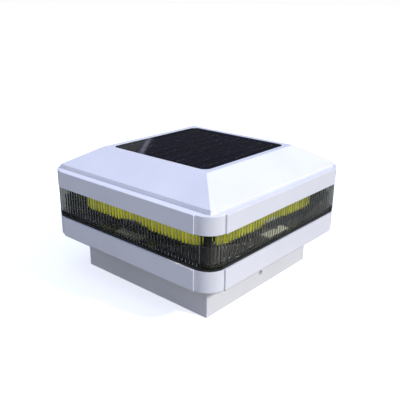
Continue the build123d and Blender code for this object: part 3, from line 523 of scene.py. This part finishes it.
WHITE_CASE = Moulding("white_case", (0.84, 0.835, 0.84), (0.92, 0.92, 0.93), roughness=0.34, coat=0.05)
WHITE_INNER = Moulding("white_inner", (0.80, 0.80, 0.78), (0.86, 0.86, 0.84), roughness=0.5, dust=0.05)
CHARCOAL = Moulding("charcoal_tray", (0.020, 0.019, 0.021), (0.05, 0.05, 0.05), roughness=0.55,
                    grain=900.0, grain_depth=0.01 * MM, dust=0.03, specular=0.25)
BLACK_RUBBER = Moulding("black_rubber", (0.008, 0.009, 0.005), (0.03, 0.03, 0.03), roughness=0.6,
                        dust=0.05, grain=1800.0, grain_depth=0.006 * MM)
BLACK_PLASTIC = Moulding("black_plastic", (0.016, 0.016, 0.017), (0.06, 0.06, 0.06), roughness=0.42)
FERRITE = Moulding("ferrite", (0.06, 0.055, 0.052), (0.16, 0.15, 0.14), roughness=0.7, grain=3000.0,
                   grain_depth=0.06 * MM, edge_radius=0.3 * MM)
FOAM = Moulding("foam_tape", (0.09, 0.09, 0.09), (0.13, 0.13, 0.13), roughness=0.9, grain=4000.0,
                grain_depth=0.2 * MM, edge_radius=0.1 * MM)
CAN_SLEEVE = Moulding("can_sleeve", (0.012, 0.02, 0.07), (0.08, 0.09, 0.12), roughness=0.25, coat=0.3,
                      edge_radius=0.3 * MM)
LEAD_BLACK = Moulding("lead_black", (0.012, 0.012, 0.013), (0.03, 0.03, 0.03), roughness=0.4,
                      edge_radius=0.1 * MM)
LEAD_RED = Moulding("lead_red", (0.42, 0.012, 0.012), (0.5, 0.06, 0.05), roughness=0.38,
                    edge_radius=0.1 * MM)
# the rib attribute carries the ribs' painted shade
CLEAR_LENS = ClearMoulding("clear_lens", (0.94, 0.94, 0.86), roughness=0.01, index=1.24, haze=0.01,
                           shade="rib")
PANEL_RESIN = ClearMoulding("panel_resin", (0.42, 0.42, 0.50), roughness=0.02, index=1.28, haze=0.03)
LED_EPOXY = ClearMoulding("led_epoxy", (0.96, 0.95, 0.90), roughness=0.01, haze=0.01, index=1.52)
ZINC = Metal("zinc_screws", Plating.ZINC)
TINNED = Metal("tinned_ribbon", Plating.TINNED)
NICKEL = Metal("nickel_contacts", Plating.NICKEL)
BOARD_GREEN = SolderMask("board_green", (0.012, 0.075, 0.028), (0.04, 0.14, 0.05))
BOARD_NAVY = SolderMask("board_navy", (0.10, 0.12, 0.20), (0.12, 0.14, 0.23))
BOARD_BLACK = SolderMask("board_black", (0.016, 0.018, 0.016), (0.035, 0.038, 0.034))
SILICON = Silicon()
CELL_WRAP = CellWrap()
REFLECTOR_FILM = ReflectorFilm()


MADE: dict[Finish, bpy.types.Material] = {}


def made(finish: Finish) -> bpy.types.Material:
    """A finish's material, which is made the first time that it is wanted."""
    if finish not in MADE:
        MADE[finish] = finish.build()
    return MADE[finish]


# ------------------------------------------------------------------ surfaces
@dataclass(frozen=True)
class RoundedSquare:
    """Path anticlockwise round an upright square with rounded corners."""

    half: float
    radius: float

    @property
    def length(self) -> float:
        """Length once round."""
        return 8 * (self.half - self.radius) + 2 * math.pi * self.radius

    def walk(self, count: int) -> tuple[np.ndarray, np.ndarray]:
        """Evenly spaced points and their outward directions.

        Each quarter runs along a flat from end to end, then round its corner: past the flat the
        direction turns by the run that is left, divided by the radius.

        Args:
            count: points once round.

        Returns:
            Points and unit directions, each as count rows of X and Y.
        """
        flat = 2 * (self.half - self.radius)
        side = self.length / 4
        run = np.arange(count) / count * self.length
        quarter = np.floor(run / side)
        run = run - quarter * side
        turn = np.clip((run - flat) / self.radius, 0, math.pi / 2)
        across = self.half - self.radius + self.radius * np.cos(turn)
        along = np.minimum(run, flat) - flat / 2 + self.radius * np.sin(turn)
        angle = quarter * math.pi / 2
        x = across * np.cos(angle) - along * np.sin(angle)
        y = across * np.sin(angle) + along * np.cos(angle)
        return np.stack([x, y], 1), np.stack([np.cos(angle + turn), np.sin(angle + turn)], 1)


def carry(path: RoundedSquare, count: int, inset: np.ndarray, height: np.ndarray) -> np.ndarray:
    """Carries a section round a path: each point stands in from the path by its inset, at its height.

    Args:
        path: the path.
        count: points once round.
        inset: one row for each point of the path, or one row for all, of insets along the section.
        height: heights along the section.

    Returns:
        Path points by section points by X, Y and Z.
    """
    place, out = path.walk(count)
    inset = np.broadcast_to(inset, (count, len(height)))
    flat = place[:, None, :] - out[:, None, :] * inset[..., None]
    return np.concatenate([flat, np.broadcast_to(height, inset.shape)[..., None]], -1)


def ring_mesh(name: str, points: np.ndarray) -> bpy.types.Object:
    """Mesh over a grid of points whose rows and columns both join up end to end.

    Args:
        name: the piece's name.
        points: rows by columns by X, Y and Z.

    Returns:
        The new object.
    """
    rows, columns = points.shape[:2]
    row, column = np.meshgrid(np.arange(rows), np.arange(columns), indexing="ij")
    after, beside = (row + 1) % rows, (column + 1) % columns
    here, there = row * columns, after * columns
    quads = np.stack([here + column, there + column, there + beside, here + beside], -1)
    return quad_mesh(name, points.reshape(-1, 3), quads.reshape(-1, 4))


def quad_mesh(name: str, points: np.ndarray, quads: np.ndarray) -> bpy.types.Object:
    """Mesh from points and quads given as whole arrays.

    Args:
        name: the piece's name.
        points: one row per point.
        quads: one row of four point numbers per face, anticlockwise from outside.

    Returns:
        The new object, smooth-shaded up to sharp edges, linked to the scene.
    """
    mesh = bpy.data.meshes.new(name)
    mesh.vertices.add(len(points))
    mesh.vertices.foreach_set("co", np.ascontiguousarray(points, np.float32).ravel())
    mesh.loops.add(quads.size)
    mesh.loops.foreach_set("vertex_index", quads.astype(np.int32).ravel())
    mesh.polygons.add(len(quads))
    mesh.polygons.foreach_set("loop_start", np.arange(0, quads.size, 4, dtype=np.int32))
    mesh.update(calc_edges=True)
    mesh.validate()
    mesh.shade_smooth()
    mesh.set_sharp_from_angle(angle=SHARP_ANGLE)
    piece = bpy.data.objects.new(name, mesh)
    bpy.context.scene.collection.objects.link(piece)
    return piece


def boxes_mesh(name: str, lows: np.ndarray, highs: np.ndarray) -> bpy.types.Object:
    """Many upright boxes as one mesh: each is the unit cube stretched between its two corners.

    Args:
        name: the piece's name.
        lows: lowest corner of each box.
        highs: highest corner of each box.

    Returns:
        The new object.
    """
    corners = np.array([[x, y, z] for z in (0, 1) for y in (0, 1) for x in (0, 1)], float)
    ends = [[0, 2, 3, 1], [4, 5, 7, 6]]
    faces = np.array([*ends, [0, 1, 5, 4], [2, 6, 7, 3], [0, 4, 6, 2], [1, 3, 7, 5]])
    points = lows[:, None, :] + corners[None] * (highs - lows)[:, None, :]
    quads = faces[None] + 8 * np.arange(len(lows))[:, None, None]
    return quad_mesh(name, points.reshape(-1, 3), quads.reshape(-1, 4))


def paint(piece: bpy.types.Object, name: str, values: np.ndarray) -> None:
    """Gives each point of a piece a number that its finish reads."""
    mask = piece.data.attributes.new(name, "FLOAT", "POINT")
    mask.data.foreach_set("value", values.astype(np.float32).ravel())


def settle(piece: bpy.types.Object, finish: Finish, slot: str, *nodes: str) -> None:
    """Completes a new piece of the case: its finish and the nodes it stands for; slot is not used."""
    piece.data.materials.append(made(finish))
    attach(piece, "case")
    if nodes:
        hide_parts(*nodes)
    LOG.info("%s: %d faces", piece.name, len(piece.data.polygons))


def dress(finish: Finish, *nodes: str) -> None:
    """Gives construction nodes a finish, in every slot they have."""
    material = made(finish)
    for name in nodes:
        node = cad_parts[name]
        for slot in node.material_slots:
            slot.material = material
        if not node.material_slots:
            node.data.materials.append(material)
        LOG.info("%s: finish %s", name, material.name)


def each_side(stem: str) -> list[str]:
    """Names of the nodes that stand once on each side."""
    return [f"{stem}_{number}" for number in range(1, SIDES + 1)]


# ------------------------------------------------------------------ the light's parts
@dataclass
class LensBand:
    """Clear band with upright ribs moulded on its inside and a locating lip above and below."""

    radius: float = 14.1 * MM
    wall: float = 3.6 * MM
    lip_back: float = 5.4 * MM
    lip_front: float = 3.2 * MM
    lower_lip: float = 3.6 * MM
    upper_lip: float = 5.6 * MM
    lip_root: float = 1.8 * MM
    softening: float = 0.25 * MM
    rib_pitch: float = 3.3 * MM
    rib_depth: float = 0.5 * MM
    rib_steps: int = 12
    rib_seed: int = 5
    # painted shade of the ribs: the lowest chance share, and the value at the crests
    darkest_painted_rib: float = 0.45
    crest_painted_shade: float = 0.35

    def profile(self, bottom: float, top: float) -> tuple[np.ndarray, np.ndarray, np.ndarray]:
        """Section of the band, up the outside, over the top lip and down the inside.

        Args:
            bottom: height of the visible wall's bottom edge.
            top: height of its top edge.

        Returns:
            Insets behind the outside, heights, and how strongly the ribs stand there.
        """
        soft = self.softening
        foot, head = bottom - self.lower_lip, top + self.upper_lip
        low, high = bottom + self.lip_root, top - self.lip_root
        front, back, ribbed_back = self.lip_front, self.lip_back, self.lip_back - self.rib_depth
        points = [
            (soft, bottom, 0), (0, bottom + soft, 0), (0, top - soft, 0), (soft, top, 0),
            (front, top, 0), (front, head, 0), (back, head, 0), (back, high, 0),
            (self.wall, high, 1), (self.wall, (top + bottom) / 2, 1), (self.wall, low, 1),
            (ribbed_back, low, 1), (ribbed_back, foot, 1), (front, foot, 0), (front, bottom, 0),
        ]
        inset, height, ribbed = np.array(points, float).T
        return inset, height, ribbed

    def build(self) -> None:
        """Makes the ring.

        Across one pitch, which is one turn, a rib swells inwards by its depth times half of one minus
        the turn's cosine. Its painted shade falls from 1 in the valleys to the crest's painted shade, by
        half of one minus the cosine, and is multiplied by a chance share for each rib; the outside stays
        1, unshaded.
        """
        low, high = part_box("lens_ring")
        path = RoundedSquare(high.x, self.radius)
        ribs = round(path.length / self.rib_pitch / SIDES) * SIDES
        number, step = np.divmod(np.arange(ribs * self.rib_steps), self.rib_steps)
        inset, height, ribbed = self.profile(low.z + self.lower_lip, high.z - self.upper_lip)
        rise = 0.5 - 0.5 * np.cos(2 * math.pi * step / self.rib_steps)
        depth = inset + self.rib_depth * rise[:, None] * ribbed
        piece = ring_mesh("ribbed_lens", carry(path, len(rise), depth, height))
        chance = np.random.default_rng(self.rib_seed)
        share = chance.uniform(self.darkest_painted_rib, 1.0, ribs)[number]
        # painted shade: darkest at each rib's crest and varied at random per rib, on the inside only
        painted_shade_tone = share * (1 - (1 - self.crest_painted_shade) * rise)
        paint(piece, "rib", np.where(inset > self.wall / 2, painted_shade_tone[:, None], 1.0))
        settle(piece, CLEAR_LENS, "clear_lens", "lens_ring")


@dataclass
class FlutedReflector:
    """Yellow-green wall behind the lens, pressed into uneven upright flutes, over a dark skirt."""

    corner: float = 18.0 * MM
    wall: float = 0.3 * MM
    depth: float = 1.5 * MM
    pitch: float = 2.6 * MM
    steps: int = 8
    seed: int = 12
    sharpness: tuple[float, float] = (0.6, 1.6)
    shallowest: float = 0.25
    # painted shade in the flutes' roots, as a share of the crest's colour
    root_painted_shade: float = 0.35
    dullest_flute: float = 0.55
    skirt_height: float = 5.5 * MM
    skirt_wall: float = 1.8 * MM
    skirt_edge: float = 0.3 * MM
    skirt_steps: int = 160

    def build(self) -> None:
        """Makes the wall.

        Across one pitch, which is one turn, a flute stands out by its depth times half of one minus
        the turn's cosine, to a power; the power and the depth vary from one flute to the next. The
        inside follows the same path without flutes.
        """
        low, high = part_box("reflector_ring")
        path = RoundedSquare(high.x, self.corner)
        flutes = round(path.length / self.pitch)
        number, step = np.divmod(np.arange(flutes * self.steps), self.steps)
        chance = np.random.default_rng(self.seed)
        power = chance.uniform(*self.sharpness, flutes)[number]
        deep = chance.uniform(self.shallowest, 1.0, flutes)[number]
        share = chance.uniform(self.dullest_flute, 1.0, flutes)[number]
        crest = (0.5 - 0.5 * np.cos(2 * math.pi * step / self.steps)) ** power
        front = (1 - crest * deep) * self.depth
        back = np.full_like(front, self.depth + self.wall)
        foot = low.z + self.skirt_height
        height = np.array([foot, (foot + high.z) / 2, high.z, high.z, foot])
        inset = np.stack([front, front, front, back, back], 1)
        piece = ring_mesh("fluted_reflector", carry(path, len(crest), inset, height))
        # painted shade: the flute roots darken to root_painted_shade, times a chance share per flute
        painted_shade_tone = share * (self.root_painted_shade + (1 - self.root_painted_shade) * crest)
        paint(piece, "flute", np.repeat(painted_shade_tone, len(height)))
        settle(piece, REFLECTOR_FILM, "green_reflector", "reflector_ring")
        self.skirt(path, low.z, foot)

    def skirt(self, path: RoundedSquare, bottom: float, top: float) -> None:
        """Plain dark foot of the wall: a section with a bevelled lower edge, carried round the path."""
        edge, wall = self.skirt_edge, self.skirt_wall
        inset = np.array([edge, 0.0, 0.0, wall, wall])
        height = np.array([bottom, bottom + edge, top, top, bottom])
        piece = ring_mesh("reflector_skirt", carry(path, self.skirt_steps, inset, height))
        settle(piece, CHARCOAL, "charcoal_tray")


@dataclass
class SolarPanel:
    """Silicon strips with printed contact fingers, on a board, under a clear resin cover."""

    strips: int = 4
    gap: float = 1.4 * MM
    finger_pitch: float = 1.9 * MM
    finger_width: float = 0.16 * MM
    finger_height: float = 0.04 * MM
    end_margin: float = 0.8 * MM

    def fingers(self) -> None:
        """Prints fine silver lines across each strip, square to the ribbons.

        Strip number s starts at the field's edge plus s times a strip and its gap; finger number f
        lies at the end margin plus f pitches.
        """
        low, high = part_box("solar_cells")
        width = (high.x - low.x - (self.strips - 1) * self.gap) / self.strips
        count = int((high.y - low.y - 2 * self.end_margin) / self.finger_pitch) + 1
        strip, finger = np.meshgrid(np.arange(self.strips), np.arange(count), indexing="ij")
        left = low.x + strip.ravel() * (width + self.gap) + self.end_margin
        start = low.y + self.end_margin + finger.ravel() * self.finger_pitch
        base = np.full(left.shape, high.z)
        lows = np.stack([left, start, base], 1)
        size = np.array([width - 2 * self.end_margin, self.finger_width, self.finger_height])
        settle(boxes_mesh("cell_fingers", lows, lows + size), TINNED, "tinned_ribbon")

    def build(self) -> None:
        """Dresses the panel's nodes and prints the fingers; the tabs keep their plain colour."""
        dress(PANEL_RESIN, "panel_cover")
        dress(SILICON, "solar_cells")
        dress(BOARD_NAVY, "panel_board")
        dress(FOAM, "panel_tape")
        self.fingers()


class Case:
    """White mouldings, rubber seals and screws."""

    def build(self) -> None:
        """Dresses the case's nodes."""
        dress(WHITE_CASE, "post_collar", "base_housing", "top_cover", "battery_door")
        dress(BLACK_RUBBER, "lens_gasket", "cover_seal")
        dress(ZINC, "case_screws", "switch_screws", "board_screws", "hinge_pin")


class LightChamber:
    """Dark floor and ceiling, and the light units."""

    def build(self) -> None:
        """Dresses the light units; the tray and the ceiling keep their plain dark colour."""
        dress(WHITE_INNER, *each_side("led_mount"))
        dress(BOARD_BLACK, *each_side("led_board"))
        dress(LED_EPOXY, *each_side("led"))


class Works:
    """Battery, switch, control board and leads inside the base."""

    def build(self) -> None:
        """Dresses the works' nodes; the lead headers keep their plain colour."""
        dress(CELL_WRAP, "battery_cell")
        dress(NICKEL, "contact_plus", "contact_minus", "switch_pins")
        dress(BLACK_PLASTIC, "switch_body", "switch_knob", "control_chip")
        dress(BOARD_GREEN, "control_board")
        dress(FERRITE, "choke_coil")
        dress(CAN_SLEEVE, "capacitor")
        dress(LEAD_RED, "battery_lead_plus")
        dress(LEAD_BLACK, "battery_lead_minus", "switch_lead", "panel_lead", *each_side("led_lead"))


# ------------------------------------------------------------------ studio
@dataclass
class Camera:
    """Where the camera stands, on a sphere round its target, and how far it is turned from it."""

    azimuth: float = 41.15
    elevation: float = 20.70
    distance: float = 0.4798
    target_height: float = 0.0484
    pan: float = -0.13
    tilt: float = 1.07
    roll: float = -0.45
    lens: float = 50.2
    near: float = 0.01
    far: float = 200.0

    def build(self) -> None:
        """Places the camera, then pans, tilts and rolls it."""
        turn, rise = math.radians(self.azimuth), math.radians(self.elevation)
        x, y = math.sin(turn) * math.cos(rise), -math.cos(turn) * math.cos(rise)
        back = Vector((x, y, math.sin(rise)))
        data = bpy.data.cameras.new("camera")
        data.lens = self.lens
        data.clip_start = self.near
        data.clip_end = self.far
        camera = bpy.data.objects.new("camera", data)
        bpy.context.scene.collection.objects.link(camera)
        camera.location = Vector((0, 0, self.target_height)) + back * self.distance
        aim = (-back).to_track_quat("-Z", "Y")
        aim = aim @ Quaternion((0, 1, 0), math.radians(self.pan))
        aim = aim @ Quaternion((1, 0, 0), math.radians(self.tilt))
        camera.rotation_mode = "QUATERNION"
        camera.rotation_quaternion = aim @ Quaternion((0, 0, -1), math.radians(self.roll))
        bpy.context.scene.camera = camera


@dataclass
class Sun:
    """Key light: its turn from +X towards +Y, its height and how wide it looks, in degrees."""

    strength: float = 2.2
    turn: float = 15.0
    height: float = 36.0
    width: float = 6.0
    colour: Colour = (1.0, 0.975, 0.97)

    def build(self) -> None:
        """Hangs the light."""
        data = bpy.data.lights.new("key_sun", "SUN")
        data.energy = self.strength
        data.angle = math.radians(self.width)
        data.color = self.colour
        lamp = bpy.data.objects.new("key_sun", data)
        bpy.context.scene.collection.objects.link(lamp)
        turn, rise = math.radians(self.turn), math.radians(self.height)
        x, y = math.cos(rise) * math.cos(turn), math.cos(rise) * math.sin(turn)
        lamp.rotation_euler = Vector((x, y, math.sin(rise))).to_track_quat("Z", "Y").to_euler()


@dataclass
class Sky:
    """Cool sky with a dark flag hung behind the light and a strip lamp at the flag's left part.

    A ray's lean is its run to the left over its run straight back, less a share of its rise. The flag
    covers the leans between its two edges, and the strip a narrow range of leans.
    """

    horizon: Colour = (0.50, 0.475, 0.42)
    zenith: Colour = (0.60, 0.73, 1.20)
    zenith_from: float = 0.9
    right_gain: float = 0.2
    seen: Colour = (0.985, 0.985, 0.99)
    lean_by_rise: float = 1.3
    flag_right: tuple[float, float] = (-0.5, -0.2)
    flag_left: tuple[float, float] = (2.2, 2.8)
    flag_top: tuple[float, float] = (0.45, 0.57)
    flag_dark: Colour = (0.05, 0.05, 0.06)
    flag_grey: Colour = (0.16, 0.17, 0.17)
    strip_lean: float = 0.75
    strip_width: tuple[float, float] = (0.006, 0.012)
    strip_fade: float = 0.03
    strip_colour: Colour = (0.5, 0.5, 0.64)

    def build(self) -> None:
        """Makes the sky: bluer overhead, brighter on the right, and plain white to the camera."""
        world = bpy.data.worlds.new("sky")
        bpy.context.scene.world = world
        world.use_nodes = True
        world.node_tree.nodes.clear()
        sheet = Sheet(world.node_tree)
        ray = sheet.node("TexCoord").outputs["Generated"]
        parts = sheet.node("SeparateXYZ", None, Vector=ray).outputs
        height = sheet.spread(parts["Z"], 0.0, self.zenith_from, 0.0, 1.0)
        colour = sheet.tint(height, self.horizon, self.zenith)
        side = sheet.maths("MULTIPLY_ADD", parts["X"], self.right_gain, 1.0)
        lit = sheet.node("VectorMath", {"operation": "SCALE"}, Vector=colour, Scale=side)
        colour = self.flag(sheet, parts, lit.outputs[0])
        colour = sheet.tint(sheet.node("LightPath").outputs["Is Camera Ray"], colour, self.seen)
        background = sheet.node("Background", None, Color=colour, Strength=1.0)
        sheet.put(sheet.node("OutputWorld").inputs["Surface"], background.outputs[0])

    def flag(self, sheet: Sheet, parts: object, sky: object) -> bpy.types.NodeSocket:
        """Hangs the flag and the strip.

        Args:
            sheet: the world's sheet.
            parts: the ray's X, Y and Z.
            sky: the colour without the flag.

        Returns:
            The colour with the flag and the strip.
        """
        away = sheet.maths("MAXIMUM", parts["Y"], 0.001)
        lean = sheet.maths("DIVIDE", sheet.maths("MULTIPLY", parts["X"], -1.0), away)
        lean = sheet.maths("SUBTRACT", lean, sheet.maths("MULTIPLY", parts["Z"], self.lean_by_rise))
        low = sheet.spread(parts["Z"], *self.flag_top, 1.0, 0.0)
        right = sheet.spread(lean, *self.flag_right, 0.0, 1.0)
        left = sheet.spread(lean, *self.flag_left, 1.0, 0.0)
        shade = sheet.maths("MULTIPLY", sheet.maths("MULTIPLY", right, left), low)
        near = sheet.maths("ABSOLUTE", sheet.maths("SUBTRACT", lean, self.strip_lean))
        strip = sheet.maths("MULTIPLY", sheet.spread(near, *self.strip_width, 1.0, 0.0), low)
        past = sheet.spread(lean, self.strip_lean, self.strip_lean + self.strip_fade, 0.0, 1.0)
        dark = sheet.tint(past, self.flag_dark, self.flag_grey)
        return sheet.tint(strip, sheet.tint(shade, sky, dark), self.strip_colour)


@dataclass
class Floor:
    """Wide paper floor with a hole where a post would pass, so that light reaches the socket.

    It is white seen from above, clear from below, and greyer in the light that it throws back.
    """

    half: float = 30.0
    drop: float = 0.2 * MM
    post_hole: float = 63.0 * MM
    glow: float = 0.55
    thrown: Colour = (0.26, 0.26, 0.23)
    paper: tuple[Colour, Colour] = ((0.90, 0.90, 0.91), (0.92, 0.92, 0.93))

    def build(self) -> None:
        """Lays the floor."""
        square = np.array([(-1, -1), (1, -1), (1, 1), (-1, 1)], float)
        flat = np.concatenate([square * self.half, square * self.post_hole])
        points = np.column_stack([flat, np.full(len(flat), -self.drop)])
        corner = np.arange(4)
        following = (corner + 1) % 4
        quads = np.stack([corner, following, following + 4, corner + 4], 1)
        floor = quad_mesh("floor", points, quads)
        floor.data.materials.append(self.finish())

    def finish(self) -> bpy.types.Material:
        """Makes the paper.

        Returns:
            A matt material with a little light of its own, to the camera only.
        """
        material, sheet, out = new_material("floor_paper")
        seen = sheet.node("LightPath").outputs["Is Camera Ray"]
        white = sheet.tint(sheet.noise(sheet.place(), 40.0), *self.paper)
        base = sheet.tint(seen, self.thrown, white)
        shader = sheet.node("BsdfPrincipled", None, Base_Color=base, Emission_Color=rgba((1.0, 1.0, 1.0)))
        shader.inputs["Roughness"].default_value = 1.0
        shader.inputs["Specular IOR Level"].default_value = 0.0
        sheet.put(shader.inputs["Emission Strength"], sheet.maths("MULTIPLY", seen, self.glow))
        below = sheet.node("NewGeometry").outputs["Backfacing"]
        sheet.put(out.inputs["Surface"], sheet.blend(below, shader, sheet.node("BsdfTransparent")))
        return material


class Studio:
    """Pale floor, a soft sun from the right, a cool sky and the camera."""

    def build(self) -> None:
        """Sets up the studio."""
        scene = bpy.context.scene
        scene.view_settings.view_transform = "Standard"
        scene.view_settings.look = "None"
        for piece in (Camera(), Sun(), Sky(), Floor()):
            piece.build()


def main() -> None:
    """Builds the studio, then the light from the outside in."""
    logging.basicConfig(level=logging.INFO, format="%(message)s")
    Studio().build()
    for part in (Case(), LensBand(), FlutedReflector(), SolarPanel(), LightChamber(), Works()):
        part.build()
        LOG.info("built %s", type(part).__name__)


if __name__ == "__main__":
    main()
